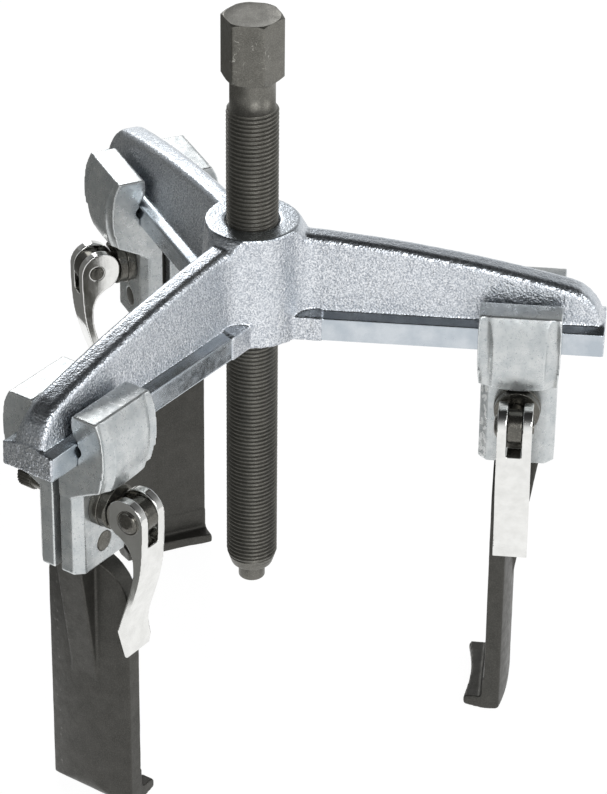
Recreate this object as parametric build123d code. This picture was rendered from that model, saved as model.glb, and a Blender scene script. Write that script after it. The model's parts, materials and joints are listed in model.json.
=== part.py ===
from build123d import *
import math
import os

# Three-arm gear puller: a forged yoke with three rails, a forcing screw and three sliding
# quick-release jaws.
#
# Everything is in millimetres. The puller stands upright: +Z runs up the forcing screw, +X runs out along the
# first arm, and the origin is the centre of the thrust tip's pressure face.
#
# Two helper frames are used while building:
#   rail frame  the row frame lowered so that z = 0 is the underside of the rails
#   jaw frame   the rail frame moved to a jaw's centre: x outward along the arm, y to the arm's left

# ---------------------------------------------------------------- driving dimensions
RAIL_Z = 123.0            # height of the rails' underside above the pressure face
ARM_AZIMUTHS = (0.0, 120.0, 240.0)
JAW_RADII = (108.5, 107.5, 110.0)   # where each jaw is set along its arm
CLAMP_TURNS = (180.0, 0.0, 0.0)     # the first jaw's clamp is fitted with its lever on the other side

# forcing screw, G 1/2 - 14 thread with a 22 mm hexagon
THREAD_D = 20.955
THREAD_LOW = -109.5
THREAD_HIGH = 97.0
THREAD_RUN_IN = 1.4       # height of the chamfer at the top of the thread
SCREW_END = -115.8
SCREW_END_R = 8.4
NECK_R = 9.1
HEX_AF = 22.0
HEX_LOW = 109.9
HEX_HIGH = 136.0
HEX_TOP_R = 11.45         # radius of the flat circle on top of the hexagon
HEX_TURN = -2.6           # degrees the hexagon stands away from the first arm
TIP_R = 5.5
TIP_END = -RAIL_Z
TIP_GAP = 0.2
TIP_SHANK_R = 4.0
TIP_SHANK_HIGH = -107.0
TIP_RING_Z = -111.5
BALL_R = 3.0
RUNNING_GAP = 0.05        # radial clearance of a turning or sliding fit

# forged yoke
ARM_LENGTH = 141.5
HUB_BASE_R = 22.0
HUB_TOP = 47.2
WEB_BASE_HALF = 7.7
FORGING_DRAFT = 3.8       # degrees
BLEND_R = 11.0            # plan radius between hub and web
RIDGE_HIGH = 44.2         # the ridge's line, followed back to the screw's axis
RIDGE_SLOPE = 0.0324
RIDGE_BEND = 0.000835     # fall per squared millimetre of radius
RIDGE_CROWN = 3.0         # rise of the ridge above its rounded shoulders
RIDGE_FLAT_HALF = 2.3     # half width of the flat band along the ridge
RIDGE_FOOT = 22.2         # the ridge begins to climb to the hub inside this radius
RIDGE_FILLET = 3.2
WEB_STATIONS = (14.0, 19.0, 19.15, 19.4, 19.8, 20.4, 21.2, RIDGE_FOOT, 28.0, 36.0, 46.0, 56.0, 66.0, 76.0,
                86.0, 96.0, 106.0, 115.0, 123.0, 128.0, 131.5, 134.5, 137.0, 139.0, 140.5, ARM_LENGTH)
NOSE_START = 122.0        # the ridge turns down into the nose from here
NOSE_LENGTH = 19.6
NOSE_FOOT = 5.4           # height of the nose ellipse's centre
NOSE_RISE = 22.3
RAIL_HALF = 12.0
RAIL_SIDE_HIGH = 9.8
RAIL_CROWN_HALF = 7.4
RAIL_CROWN_HIGH = 11.4
RAIL_CORNER = 0.4         # chamfer on the upright corners of a rail's end
RAIL_START = 29.0         # the machined rail begins here
ROUGH_ALLOWANCE = 0.4     # forging left proud of the machined rail
BORE_CHAMFER_R = 11.4

# clamp halves
CLAMP_HALF_WIDTH = 16.4
CLAMP_WAIST_HALF = 15.8   # half width where the saddle's sides have drawn in
CLAMP_WAIST_Z = -9.0
CLAMP_TOP = 21.0
CLAMP_TOP_Y = 21.0        # outer edge of the flat top
CLAMP_BULGE = (25.6, 4.5)           # y and z of the front's fullest point
CLAMP_SHELF = (22.2, -11.8)         # y and z of the front's lower edge in the middle
SHELF_ROOT = (12.0, -17.0)          # y and z where the shelf's underside meets the plate
SHELF_ARCH_R = 55.0       # the lower edge is arched: higher at its ends than in the middle
LIP_Y = 9.5
SIDE_GAP = 0.12           # clearance between clamp and rail
NOTCH_LOW = 3.4           # relief cut beside the rail's edge
NOTCH_HIGH = 8.6
NOTCH_DEPTH = 1.5
SPOT_FACE_R = 10.2        # clearance around the washer
FLUTE_X = 13.6
FLUTE_Z = 5.5
FLUTE_R = 3.6
FLUTE_DEPTH = 2.2
FLUTE_SWEEP_R = 48.0
PLATE_HALF_WIDTH = 15.3
PLATE_INNER_Y = 1.6
PLATE_OUTER_Y = 10.85
PLATE_LOW = -52.2
PLATE_BEVEL = 3.3
PLATE_BEVEL_HIGH = -15.5  # the bevels end here, under the shelf
POCKET_HALF_WIDTH = 10.0
POCKET_Y = 6.6

# clamp bolt, nut, washers and dowel
BOLT_Z = -24.5
BOLT_R = 4.5
DOWEL_Z = -43.0
DOWEL_R = 4.3
WASHER_R = 9.5
WASHER_HIGH = 14.6
SEAT_R = 9.2
SEAT_HIGH = 18.5
SEAT_DISH_R = 12.0
SEAT_DISH_Y = 17.5
EYE_HALF = 2.85
BOLT_EYE_R = 7.0
BOLT_FLAT_Y = 17.3
BOLT_END_Y = -27.7
NUT_COLLAR_R = 8.0
NUT_COLLAR_Y = -14.5
NUT_WAIST_R = 5.6
NUT_KNOB_R = 6.5
NUT_KNOB_Y = (-20.8, -27.0)
NUT_FLUTES = 28
NUT_FLUTE_DEPTH = 0.45

# cam lever and its pin
PIN_Y = 28.2
PIN_R = 3.0
CAM_R = 8.75
CAM_OFFSET = 1.75         # eye centre nearer the clamp than the pin: this is the cam's throw
FORK_HALF = 6.95
FORK_SLOT_HALF = 3.1
FORK_SLOT_LOW = -35.2
PIN_HEAD_R = 5.2
PIN_HEAD_HIGH = 1.7
PIN_TAIL_R = 2.75
PIN_TAIL_HIGH = 0.6

# legs
SHANK_X = (-9.8, 9.7)
SHANK_HALF = 6.4
SHANK_TOP = -1.0
BLADE_HALF_WIDTH = 20.0
BLADE_INNER_X = -8.6
BLADE_CROWN_X = 1.3
BLADE_EDGE_X = -2.2
BLADE_SHOULDER_HIGH = -54.0
BLADE_SHOULDER_LOW = -73.0
RIB_HALF = 6.3
RIB_LOW = -112.0
CLAW_STEP_Z = -154.0
CLAW_STEP = 0.9
CLAW_TOP = -164.0
CLAW_LOW = -170.0
CLAW_TIP_X = -17.0
CLAW_HOLLOW = 2.1         # how far the claw's tip edge is hollowed in its middle
HEEL_START = -159.5
SOLE_X = (-8.4, -5.2)     # the flat that the leg stands on


def block(x, y, z):
    """A box given by its low and high ends along x, y and z."""
    size = (x[1] - x[0], y[1] - y[0], z[1] - z[0])
    centre = ((x[0] + x[1]) / 2, (y[0] + y[1]) / 2, (z[0] + z[1]) / 2)
    return Pos(*centre) * Box(*size)


def turned(points):
    """A solid turned about Z from an outline of (radius, z) corners."""
    outline = Polyline(*[(r, 0, z) for r, z in points], close=True)
    return revolve(make_face(outline), Axis.Z)


def rod_y(radius, low, high, z):
    """A round bar along y."""
    bar = Cylinder(radius, high - low)
    return Pos(0, (low + high) / 2, z) * Rot(90, 0, 0) * bar


def rod_x(radius, low, high, y, z):
    """A round bar along x."""
    bar = Cylinder(radius, high - low)
    return Pos((low + high) / 2, y, z) * Rot(0, 90, 0) * bar


def chord_radius(half_chord, rise):
    """Radius of the arc that rises by `rise` over half a chord."""
    return (half_chord ** 2 + rise ** 2) / (2 * rise)


# ---------------------------------------------------------------- yoke
def yoke_plan():
    """The forging seen from above: a round hub and three webs, with blended corners."""
    plan = Circle(HUB_BASE_R)
    web = Pos(ARM_LENGTH / 2, 0) * Rectangle(ARM_LENGTH, 2 * WEB_BASE_HALF)
    for azimuth in ARM_AZIMUTHS:
        plan += Rot(0, 0, azimuth) * web
    inner = [v for v in plan.vertices() if v.center().length < HUB_BASE_R + 1]
    return fillet(inner, BLEND_R)


def hub_limit():
    """The body of revolution that holds the hub and its blends below the ridges."""
    low = RIDGE_CROWN + 0.6
    reach = (24.0, 36.0, 48.0, 60.0)
    profile = [(0, 0), (0, HUB_TOP), (HUB_BASE_R - 3, HUB_TOP), (HUB_BASE_R - 1.6, HUB_TOP - 2)]
    profile += [(radius, ridge_height(radius) - low) for radius in reach]
    profile += [(reach[-1], 0)]
    return turned(profile)


def ridge_height(radius):
    """Height of the ridge over the radius: a fillet at the hub, a gently falling line, an elliptical nose."""
    height = RIDGE_HIGH - RIDGE_SLOPE * radius - RIDGE_BEND * radius ** 2
    if radius < RIDGE_FOOT:
        inside = min(RIDGE_FOOT - radius, RIDGE_FILLET)
        height += RIDGE_FILLET - math.sqrt(RIDGE_FILLET ** 2 - inside ** 2)
    if radius > NOSE_START:
        along = (radius - NOSE_START) / NOSE_LENGTH
        height = min(height, NOSE_FOOT + NOSE_RISE * math.sqrt(1 - along ** 2))
    return max(height, RAIL_CROWN_HIGH + 0.2)


def web_section(radius, top):
    """One cross-section of a web: drafted sides, rounded shoulders and a flat band on top."""
    shoulder = top - RIDGE_CROWN
    half = WEB_BASE_HALF - shoulder * math.tan(math.radians(FORGING_DRAFT))
    round_y = RIDGE_FLAT_HALF + 0.69 * (half - RIDGE_FLAT_HALF)
    round_z = top - 0.32 * RIDGE_CROWN
    sides = Polyline((radius, half, shoulder), (radius, WEB_BASE_HALF, 0), (radius, -WEB_BASE_HALF, 0),
                     (radius, -half, shoulder))
    left_edge = (radius, -RIDGE_FLAT_HALF, top)
    right_edge = (radius, RIDGE_FLAT_HALF, top)
    left = ThreePointArc((radius, -half, shoulder), (radius, -round_y, round_z), left_edge)
    band = Line(left_edge, right_edge)
    right = ThreePointArc(right_edge, (radius, round_y, round_z), (radius, half, shoulder))
    parts = (sides, left, band, right)
    return make_face(Wire([edge for part in parts for edge in part.edges()]))


def make_web():
    """One arm's web, lofted from the hub to the nose."""
    return loft([web_section(radius, ridge_height(radius)) for radius in WEB_STATIONS], ruled=True)


def rail(start, end, allowance):
    """The foot of one arm between two radii, with its crowned top."""
    half = RAIL_HALF + allowance
    side = RAIL_SIDE_HIGH + allowance
    crown = RAIL_CROWN_HIGH + allowance
    outline = Polyline((start, -half, -allowance), (start, half, -allowance), (start, half, side),
                       (start, RAIL_CROWN_HALF, crown), (start, -RAIL_CROWN_HALF, crown),
                       (start, -half, side), close=True)
    return extrude(make_face(outline), end - start, dir=(1, 0, 0))


def make_yoke():
    """Hub, webs and rails in one forging, with the screw's bore."""
    body = extrude(yoke_plan(), HUB_TOP, taper=FORGING_DRAFT) & hub_limit()
    web = make_web()
    long_rail = rail(HUB_BASE_R - 8, ARM_LENGTH, 0)
    corners = long_rail.edges().filter_by(Axis.Z).group_by(Axis.X)[-1]
    long_rail = chamfer(corners, RAIL_CORNER)
    rough_rail = rail(HUB_BASE_R - 8, RAIL_START, ROUGH_ALLOWANCE)
    for azimuth in ARM_AZIMUTHS:
        body += Rot(0, 0, azimuth) * web
        body += Rot(0, 0, azimuth) * long_rail
        body += Rot(0, 0, azimuth) * rough_rail
    bore_r = THREAD_D / 2 + RUNNING_GAP
    chamfer_high = BORE_CHAMFER_R - bore_r
    low = -ROUGH_ALLOWANCE
    body += Pos(0, 0, (low + 5) / 2) * Cylinder(HUB_BASE_R - 1.5, 5 - low)
    body -= turned([(0, low - 1), (BORE_CHAMFER_R, low - 1), (BORE_CHAMFER_R, low),
                    (bore_r, low + chamfer_high), (bore_r, HUB_TOP - chamfer_high),
                    (BORE_CHAMFER_R, HUB_TOP), (BORE_CHAMFER_R, HUB_TOP + 1), (0, HUB_TOP + 1)])
    return body


# ---------------------------------------------------------------- forcing screw and thrust tip
def make_spindle():
    """The forcing screw: chamfered thread cylinder, neck, hexagon, and a blind bore for the thrust tip."""
    r = THREAD_D / 2
    shaft = turned([(0, SCREW_END), (SCREW_END_R, SCREW_END), (r, THREAD_LOW),
                    (r, THREAD_HIGH - THREAD_RUN_IN), (NECK_R, THREAD_HIGH), (NECK_R, HEX_LOW + 1),
                    (0, HEX_LOW + 1)])
    hexagon = RegularPolygon(HEX_AF / 2, 6, major_radius=False)
    prism = Pos(0, 0, HEX_LOW) * extrude(hexagon, HEX_HIGH - HEX_LOW)
    corner_r = HEX_AF / math.sqrt(3)
    top_fall = (corner_r - HEX_TOP_R) * math.tan(math.radians(30))
    foot_r = HEX_AF / 2 - 0.2
    foot_rise = (corner_r - foot_r) * 0.6
    turned_head = turned([(0, HEX_LOW), (foot_r, HEX_LOW), (corner_r + 0.1, HEX_LOW + foot_rise),
                          (corner_r + 0.1, HEX_HIGH - top_fall), (HEX_TOP_R, HEX_HIGH), (0, HEX_HIGH)])
    head = (Rot(0, 0, HEX_TURN) * prism) & turned_head
    bore_r = TIP_SHANK_R + RUNNING_GAP
    groove_r = TIP_SHANK_R + 0.8
    bore_top = TIP_SHANK_HIGH + 2 * BALL_R + 0.1
    bore = turned([(0, SCREW_END - 1), (bore_r, SCREW_END - 1), (bore_r, TIP_RING_Z - 0.7),
                   (groove_r, TIP_RING_Z - 0.7), (groove_r, TIP_RING_Z + 0.7), (bore_r, TIP_RING_Z + 0.7),
                   (bore_r, bore_top), (0, bore_top)])
    return shaft + head - bore


def make_thrust_tip():
    """The loose pressure piece under the screw, held by a snap ring."""
    face_r = TIP_R - 0.6
    shoulder = SCREW_END - TIP_GAP
    neck_r = TIP_SHANK_R - 0.6
    return turned([(0, TIP_END), (face_r, TIP_END), (TIP_R, TIP_END + 0.6), (TIP_R, shoulder),
                   (TIP_SHANK_R, shoulder), (TIP_SHANK_R, TIP_RING_Z - 0.55), (neck_r, TIP_RING_Z - 0.55),
                   (neck_r, TIP_RING_Z + 0.55), (TIP_SHANK_R, TIP_RING_Z + 0.55),
                   (TIP_SHANK_R, TIP_SHANK_HIGH), (0, TIP_SHANK_HIGH)])


def make_thrust_ball():
    """The hard ball between the tip's shank and the end of the bore."""
    return Pos(0, 0, TIP_SHANK_HIGH + BALL_R) * Sphere(BALL_R)


def make_tip_ring():
    """The split snap ring that keeps the tip in the screw."""
    ring = Pos(0, 0, TIP_RING_Z) * (Cylinder(TIP_SHANK_R + 0.7, 1.0) - Cylinder(TIP_SHANK_R - 0.55, 1.0))
    gap = block((0, 8), (-0.9, 0.9), (TIP_RING_Z - 1, TIP_RING_Z + 1))
    return ring - gap


# ---------------------------------------------------------------- clamp half
def clamp_section():
    """Cross-section of the upper part of a clamp half, hooked around the rail."""
    rail_y = RAIL_HALF + SIDE_GAP
    under = -SIDE_GAP
    shelf_y, shelf_z = CLAMP_SHELF
    root_y, root_z = SHELF_ROOT
    notch_z = (NOTCH_LOW + NOTCH_HIGH) / 2
    top = Line((0, LIP_Y, CLAMP_TOP), (0, CLAMP_TOP_Y, CLAMP_TOP))
    front = ThreePointArc((0, CLAMP_TOP_Y, CLAMP_TOP), (0, *CLAMP_BULGE), (0, shelf_y, shelf_z))
    foot = Polyline((0, shelf_y, shelf_z), (0, root_y, root_z), (0, PLATE_INNER_Y, root_z),
                    (0, PLATE_INNER_Y, under), (0, rail_y, under), (0, rail_y, NOTCH_LOW))
    relief = ThreePointArc((0, rail_y, NOTCH_LOW), (0, rail_y + NOTCH_DEPTH, notch_z),
                           (0, rail_y, NOTCH_HIGH))
    nose = Line((0, rail_y, NOTCH_HIGH), (0, rail_y, 10.3))
    lip = Spline((0, rail_y, 10.3), (0, 10.3, 12.6), (0, 9.3, 15.6), (0, LIP_Y, CLAMP_TOP),
                 tangents=[(0, -1, 0.7), (0, 0.05, 1)])
    parts = (top, front, foot, relief, nose, lip)
    return make_face(Wire([edge for part in parts for edge in part.edges()]))


def shelf_arch():
    """The tilted cylinder that gives the shelf its arched lower edge and sloping underside."""
    shelf_y, shelf_z = CLAMP_SHELF
    root_y, root_z = SHELF_ROOT
    tilt = math.atan2(shelf_z - root_z, shelf_y - root_y)
    centre_y = shelf_y - SHELF_ARCH_R * math.sin(tilt)
    centre_z = shelf_z + SHELF_ARCH_R * math.cos(tilt)
    lying = Rot(math.degrees(tilt), 0, 0) * Rot(90, 0, 0)
    return Pos(0, centre_y, centre_z) * lying * Cylinder(SHELF_ARCH_R, 100)


def saddle_front():
    """Front outline of the saddle, with its sides drawn in towards the plate."""
    sides = [(CLAMP_HALF_WIDTH, CLAMP_TOP + 1), (CLAMP_HALF_WIDTH, 0), (CLAMP_WAIST_HALF, CLAMP_WAIST_Z),
             (PLATE_HALF_WIDTH, SHELF_ROOT[1] - 2)]
    left = [(-x, 0, z) for x, z in reversed(sides)]
    return make_face(Polyline(*[(x, 0, z) for x, z in sides], *left, close=True))


def make_clamp_half():
    """The half with y > 0: a fluted saddle hooked over the rail, and a thick plate below it."""
    saddle = extrude(clamp_section(), CLAMP_HALF_WIDTH, both=True, dir=(1, 0, 0))
    saddle &= extrude(saddle_front(), 40, both=True, dir=(0, 1, 0))
    saddle &= shelf_arch()
    floor_y = CLAMP_BULGE[0] - FLUTE_DEPTH
    sweep_axis = Axis((0, floor_y - FLUTE_SWEEP_R, FLUTE_Z), (1, 0, 0))
    for side in (-1, 1):
        circle = Pos(side * FLUTE_X, floor_y + FLUTE_R, FLUTE_Z) * Circle(FLUTE_R)
        saddle -= revolve(circle, sweep_axis)
    plate_x = (-PLATE_HALF_WIDTH, PLATE_HALF_WIDTH)
    plate = block(plate_x, (PLATE_INNER_Y, PLATE_OUTER_Y), (PLATE_LOW, PLATE_BEVEL_HIGH))
    corners = plate.edges().filter_by(Axis.Z).group_by(Axis.Y)[-1]
    plate = chamfer(corners, PLATE_BEVEL)
    plate += block(plate_x, (PLATE_INNER_Y, PLATE_OUTER_Y), (PLATE_BEVEL_HIGH, -SIDE_GAP))
    half = saddle + plate
    half -= rod_y(SPOT_FACE_R, PLATE_OUTER_Y, 40, BOLT_Z)
    half -= block((-POCKET_HALF_WIDTH, POCKET_HALF_WIDTH), (0, POCKET_Y), (PLATE_LOW - 1, 0))
    return half


def make_clamp_near():
    """The half on the lever's side, which holds the dowel."""
    half = make_clamp_half() - rod_y(BOLT_R + RUNNING_GAP, 0, 30, BOLT_Z)
    return half - rod_y(DOWEL_R, 0, 30, DOWEL_Z)


def make_clamp_far():
    """The half on the nut's side, which slides on the dowel."""
    half = make_clamp_half() - rod_y(BOLT_R + RUNNING_GAP, 0, 30, BOLT_Z)
    half -= rod_y(DOWEL_R + RUNNING_GAP, 0, 30, DOWEL_Z)
    return mirror(half, about=Plane.XZ)


# ---------------------------------------------------------------- bolt, nut, washer, seat, dowel
def make_clamp_bolt():
    """The eye bolt: round shank through both halves, flat eye in the lever's fork."""
    shank = rod_y(BOLT_R, BOLT_END_Y, BOLT_FLAT_Y, BOLT_Z)
    tang = rod_y(BOLT_R, BOLT_FLAT_Y, PIN_Y, BOLT_Z) & block((-EYE_HALF, EYE_HALF), (0, 40), (-40, 0))
    eye = rod_x(BOLT_EYE_R, -EYE_HALF, EYE_HALF, PIN_Y, BOLT_Z)
    return shank + tang + eye - rod_x(PIN_R + RUNNING_GAP, -9, 9, PIN_Y, BOLT_Z)


def make_adjusting_nut():
    """The adjusting nut on the far side: collar, waist and a fluted knob."""
    collar = rod_y(NUT_COLLAR_R, NUT_COLLAR_Y, -PLATE_OUTER_Y, BOLT_Z)
    waist = rod_y(NUT_WAIST_R, NUT_KNOB_Y[0], NUT_COLLAR_Y, BOLT_Z)
    corners = []
    for i in range(2 * NUT_FLUTES):
        angle = math.pi * i / NUT_FLUTES
        radius = NUT_KNOB_R - NUT_FLUTE_DEPTH * (i % 2)
        corners.append((radius * math.cos(angle), NUT_KNOB_Y[0], BOLT_Z + radius * math.sin(angle)))
    star = make_face(Polyline(*corners, close=True))
    knob = extrude(star, NUT_KNOB_Y[0] - NUT_KNOB_Y[1], dir=(0, -1, 0))
    return collar + waist + knob - rod_y(BOLT_R + RUNNING_GAP, -40, 0, BOLT_Z)


def make_washer():
    """The plain washer against the near half."""
    return (rod_y(WASHER_R, PLATE_OUTER_Y, WASHER_HIGH, BOLT_Z)
            - rod_y(BOLT_R + RUNNING_GAP, 0, 40, BOLT_Z))


def make_cam_seat():
    """The dished disc that the cam lever bears on."""
    seat = rod_y(SEAT_R, WASHER_HIGH, SEAT_HIGH, BOLT_Z)
    seat -= rod_x(SEAT_DISH_R, -20, 20, SEAT_DISH_Y + SEAT_DISH_R, BOLT_Z)
    return seat - rod_y(BOLT_R + RUNNING_GAP, 0, 40, BOLT_Z)


def make_dowel():
    """The dowel that carries the leg across both halves, flush with their faces."""
    return rod_y(DOWEL_R, -PLATE_OUTER_Y, PLATE_OUTER_Y, DOWEL_Z)


# ---------------------------------------------------------------- cam lever and pin
def make_cam_lever():
    """The hand lever: forked eccentric eye, slim curved arm, flared thumb end."""
    outer = Spline((0, 35.15, -25.5), (0, 34.9, -37.0), (0, 33.9, -47.0), (0, 28.8, -66.0), (0, 26.8, -73.5),
                   tangents=[(0, 0.02, -1), (0, -0.15, -1)])
    scoop = Spline((0, 26.8, -73.5), (0, 26.7, -78.0), (0, 27.7, -83.0),
                   tangents=[(0, -0.15, -1), (0, 0.3, -1)])
    tip = Polyline((0, 27.7, -83.0), (0, 26.6, -88.2), (0, 25.4, -88.2), (0, 21.9, -77.2))
    inner = Spline((0, 21.9, -77.2), (0, 25.0, -66.8), (0, 29.2, -53.0), (0, 30.2, -43.0), (0, 28.0, -36.4),
                   (0, 21.4, -31.6), tangents=[(0, 0.3, 1), (0, -1, 0.45)])
    close = Polyline((0, 21.4, -31.6), (0, 26.0, -25.5), (0, 35.15, -25.5))
    parts = (outer, scoop, tip, inner, close)
    arm = make_face(Wire([edge for part in parts for edge in part.edges()]))
    lever = extrude(arm, FORK_HALF, both=True, dir=(1, 0, 0))
    lever += rod_x(CAM_R, -FORK_HALF, FORK_HALF, PIN_Y - CAM_OFFSET, BOLT_Z)
    lever -= block((-FORK_SLOT_HALF, FORK_SLOT_HALF), (10, 40), (FORK_SLOT_LOW, 0))
    return lever - rod_x(PIN_R, -20, 20, PIN_Y, BOLT_Z)


def make_lever_pin():
    """The headed pin through the fork and the bolt's eye."""
    tail = -FORK_HALF - PIN_TAIL_HIGH
    top = FORK_HALF + PIN_HEAD_HIGH
    dome_r = chord_radius(PIN_HEAD_R, PIN_HEAD_HIGH)
    half_r = PIN_HEAD_R / 2
    half_x = top - dome_r + math.sqrt(dome_r ** 2 - half_r ** 2)
    sides = Polyline((FORK_HALF, PIN_HEAD_R), (FORK_HALF, PIN_R), (-FORK_HALF, PIN_R),
                     (-FORK_HALF, PIN_TAIL_R), (tail, PIN_TAIL_R), (tail, 0), (top, 0))
    dome = ThreePointArc((top, 0), (half_x, half_r), (FORK_HALF, PIN_HEAD_R))
    outline = make_face(Wire([*sides.edges(), *dome.edges()]))
    return Pos(0, PIN_Y, BOLT_Z) * revolve(outline, Axis.X)


# ---------------------------------------------------------------- leg
def leg_side():
    """Side outline of the blade and claw."""
    step_x = BLADE_INNER_X - CLAW_STEP
    back = Polyline((BLADE_CROWN_X, 0, HEEL_START), (BLADE_CROWN_X, 0, BLADE_SHOULDER_HIGH),
                    (BLADE_INNER_X, 0, BLADE_SHOULDER_HIGH), (BLADE_INNER_X, 0, CLAW_STEP_Z),
                    (BLADE_INNER_X - 0.45, 0, CLAW_STEP_Z - 0.8), (step_x, 0, CLAW_TOP + 1.2))
    root = ThreePointArc((step_x, 0, CLAW_TOP + 1.2), (step_x - 0.35, 0, CLAW_TOP + 0.35),
                         (step_x - 1.2, 0, CLAW_TOP))
    top = Line((step_x - 1.2, 0, CLAW_TOP), (CLAW_TIP_X + 1.0, 0, CLAW_TOP))
    tip = ThreePointArc((CLAW_TIP_X + 1.0, 0, CLAW_TOP), (CLAW_TIP_X, 0, CLAW_TOP - 2.0),
                        (CLAW_TIP_X + 1.2, 0, CLAW_TOP - 4.2))
    sole = Polyline((CLAW_TIP_X + 1.2, 0, CLAW_TOP - 4.2), (SOLE_X[0], 0, CLAW_LOW), (SOLE_X[1], 0, CLAW_LOW))
    heel = Spline((SOLE_X[1], 0, CLAW_LOW), (-0.3, 0, CLAW_LOW + 2.7), (BLADE_CROWN_X, 0, HEEL_START),
                  tangents=[(1, 0, 0.0), (0, 0, 1)])
    parts = (back, root, top, tip, sole, heel)
    return make_face(Wire([edge for part in parts for edge in part.edges()]))


def blade_front():
    """Front outline of the blade, with rounded shoulders."""
    half = BLADE_HALF_WIDTH
    start = SHANK_HALF + 0.6
    left = Spline((0, -half, BLADE_SHOULDER_LOW), (0, -14.5, -58.6), (0, -start, BLADE_SHOULDER_HIGH),
                  tangents=[(0, 0, 1), (0, 1, 0.35)])
    right = mirror(left, about=Plane.XZ)
    top = Line((0, -start, BLADE_SHOULDER_HIGH), (0, start, BLADE_SHOULDER_HIGH))
    foot = Polyline((0, half, BLADE_SHOULDER_LOW), (0, half, CLAW_LOW - 1), (0, -half, CLAW_LOW - 1),
                    (0, -half, BLADE_SHOULDER_LOW))
    parts = (left, top, right, foot)
    return make_face(Wire([edge for part in parts for edge in part.edges()]))


def make_leg():
    """Shank between the clamp halves, tapering rib, wide blade and hooked claw."""
    blade = extrude(leg_side(), BLADE_HALF_WIDTH + 1, both=True, dir=(0, 1, 0))
    blade &= extrude(blade_front(), 30, both=True, dir=(1, 0, 0))
    back_r = chord_radius(BLADE_HALF_WIDTH, BLADE_CROWN_X - BLADE_EDGE_X)
    blade &= Pos(BLADE_CROWN_X - back_r, 0, -110) * Cylinder(back_r, 140)
    hollow_r = chord_radius(BLADE_HALF_WIDTH, CLAW_HOLLOW)
    blade -= Pos(CLAW_TIP_X + CLAW_HOLLOW - hollow_r, 0, CLAW_LOW) * Cylinder(hollow_r, 20)
    rib_side = Polyline((SHANK_X[0] + 1.2, 0, PLATE_LOW + 2), (SHANK_X[1], 0, PLATE_LOW + 2),
                        (SHANK_X[1], 0, PLATE_LOW), (BLADE_CROWN_X - 0.4, 0, RIB_LOW),
                        (BLADE_INNER_X + 2, 0, RIB_LOW), (BLADE_INNER_X + 2, 0, BLADE_SHOULDER_LOW),
                        (SHANK_X[0] + 1.2, 0, BLADE_SHOULDER_HIGH), close=True)
    rib = extrude(make_face(rib_side), RIB_HALF, both=True, dir=(0, 1, 0))
    shank = block(SHANK_X, (-SHANK_HALF, SHANK_HALF), (BLADE_SHOULDER_HIGH, SHANK_TOP))
    leg = blade + rib + shank
    leg -= rod_y(BOLT_R + RUNNING_GAP, -20, 20, BOLT_Z)
    return leg - rod_y(DOWEL_R, -20, 20, DOWEL_Z)


# ---------------------------------------------------------------- placing and writing
def save(name, solid):
    """Lifts a solid from the rail frame to the row frame and writes it."""
    placed = Pos(0, 0, RAIL_Z) * solid
    export_step(placed, os.path.join("parts", name + ".step"))


os.makedirs("parts", exist_ok=True)
save("yoke", make_yoke())
save("spindle", make_spindle())
save("thrust_tip", make_thrust_tip())
save("thrust_ball", make_thrust_ball())
save("tip_snap_ring", make_tip_ring())

LEG = make_leg()
CLAMP_PIECES = {
    "clamp_near": make_clamp_near(),
    "clamp_far": make_clamp_far(),
    "clamp_bolt": make_clamp_bolt(),
    "adjusting_nut": make_adjusting_nut(),
    "washer": make_washer(),
    "cam_seat": make_cam_seat(),
    "dowel": make_dowel(),
    "cam_lever": make_cam_lever(),
    "lever_pin": make_lever_pin(),
}
for number, azimuth, radius, turn in zip((1, 2, 3), ARM_AZIMUTHS, JAW_RADII, CLAMP_TURNS):
    at_jaw = Rot(0, 0, azimuth) * Pos(radius, 0, 0)
    save(f"jaw{number}_leg", at_jaw * LEG)
    for name, solid in CLAMP_PIECES.items():
        save(f"jaw{number}_{name}", at_jaw * Rot(0, 0, turn) * solid)
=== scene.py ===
"""Looks of the three-arm gear puller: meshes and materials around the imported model."""

import json
import math

import bmesh
import bpy
import numpy as np
from mathutils import Matrix, Vector, noise


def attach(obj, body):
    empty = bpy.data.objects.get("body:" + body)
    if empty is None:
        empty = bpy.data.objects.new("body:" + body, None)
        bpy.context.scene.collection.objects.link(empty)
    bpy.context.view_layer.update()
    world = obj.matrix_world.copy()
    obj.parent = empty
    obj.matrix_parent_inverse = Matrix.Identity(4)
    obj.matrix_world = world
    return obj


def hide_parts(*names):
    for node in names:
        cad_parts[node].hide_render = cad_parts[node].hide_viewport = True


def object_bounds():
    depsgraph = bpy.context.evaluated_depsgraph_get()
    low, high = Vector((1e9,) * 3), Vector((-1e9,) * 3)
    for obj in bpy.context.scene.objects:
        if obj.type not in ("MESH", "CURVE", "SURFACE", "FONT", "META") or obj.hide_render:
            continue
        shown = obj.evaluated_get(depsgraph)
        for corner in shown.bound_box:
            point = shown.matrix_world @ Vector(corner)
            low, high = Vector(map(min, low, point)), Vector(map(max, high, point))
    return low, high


MM = 0.001
JAWS = (1, 2, 3)
RAIL_Z = 123.0            # height of the rails' underside, in mm like every size below
BOLT_Z = -24.5            # height of a clamp bolt's axis, above the rails' underside
DOWEL_Z = -43.0           # height of a dowel's axis
PIN_Y = 28.2              # distance of a lever's pin from the middle of its clamp
PLATE_Y = 10.85           # outer face of a clamp's plates
BOLT_HOLE_R = 4.55        # bore of the washers and nuts
THREAD_R = 20.955 / 2
THREAD_PITCH = 25.4 / 14
THREAD_LOW = -109.5
THREAD_HIGH = 97.0

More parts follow.
